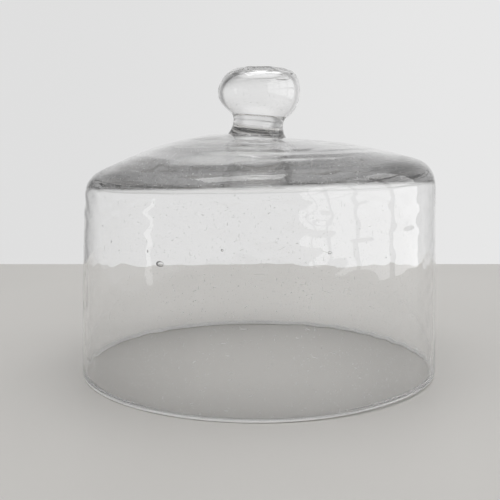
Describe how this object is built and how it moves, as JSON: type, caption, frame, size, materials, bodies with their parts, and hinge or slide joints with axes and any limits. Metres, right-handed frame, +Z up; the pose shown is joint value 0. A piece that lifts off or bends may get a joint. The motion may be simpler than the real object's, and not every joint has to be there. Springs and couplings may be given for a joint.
{
  "type": "glass cloche",
  "caption": "Clear hand-blown glass cloche: a straight-sided domed bell with an open fire-polished rim, a solid waisted neck and a hollow round knob with a flat top.",
  "frame": {"origin": "centre of the rim's resting plane, on the surface that the cloche stands on", "axes": "+Z up through the knob; +X towards the side with the fuller, higher shoulder, so that -X is the side with the lower, sloping shoulder; +Y completes the right-handed frame"},
  "size_m": [0.274, 0.274, 0.2292],
  "materials": {
    "bell_glass": "clear hand-blown soda glass, faintly rippled, with fine seeds and light surface wear",
    "neck_glass": "clear solid applied glass with soft tool marks",
    "knob_glass": "clear hollow blown glass with a ground and polished flat top"
  },
  "bodies": {
    "root": {"bell": "bell_glass", "neck": "neck_glass", "knob": "knob_glass"}
  },
  "joints": []
}
